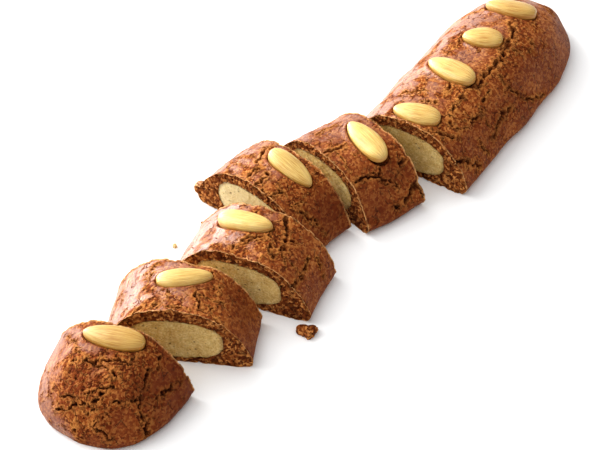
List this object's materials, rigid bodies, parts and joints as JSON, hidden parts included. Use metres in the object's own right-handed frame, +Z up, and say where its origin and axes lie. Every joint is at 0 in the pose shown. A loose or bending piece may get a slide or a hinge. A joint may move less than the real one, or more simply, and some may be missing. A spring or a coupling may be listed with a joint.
{
  "type": "filled speculaas bar",
  "caption": "Baked spiced pastry bar filled with almond paste and topped with blanched almonds, partly cut into slices that still lie in a row.",
  "frame": {"origin": "on the surface that the bar stands on, under the middle of the whole row's outline", "axes": "+X along the uncut length, from its cut towards its far end; +Z up; +Y to the left when looking along +X"},
  "size_m": [0.3236, 0.096, 0.0301],
  "materials": {
    "crust": "baked spiced crust, crackled, slightly glossy on the upper flank",
    "filling": "fine-grained moist almond paste",
    "almond": "blanched almond, glazed and lightly toasted"
  },
  "bodies": {
    "root": {"crust_uncut": "crust", "crust_slice_1": "crust", "crust_slice_2": "crust", "crust_slice_3": "crust", "crust_slice_4": "crust", "crust_end": "crust", "filling_uncut": "filling", "filling_slice_1": "filling", "filling_slice_2": "filling", "filling_slice_3": "filling", "filling_slice_4": "filling", "filling_end": "filling", "almond_1": "almond", "almond_2": "almond", "almond_3": "almond", "almond_4": "almond", "almond_5": "almond", "almond_6": "almond", "almond_7": "almond", "almond_8": "almond", "almond_9": "almond"}
  },
  "joints": []
}
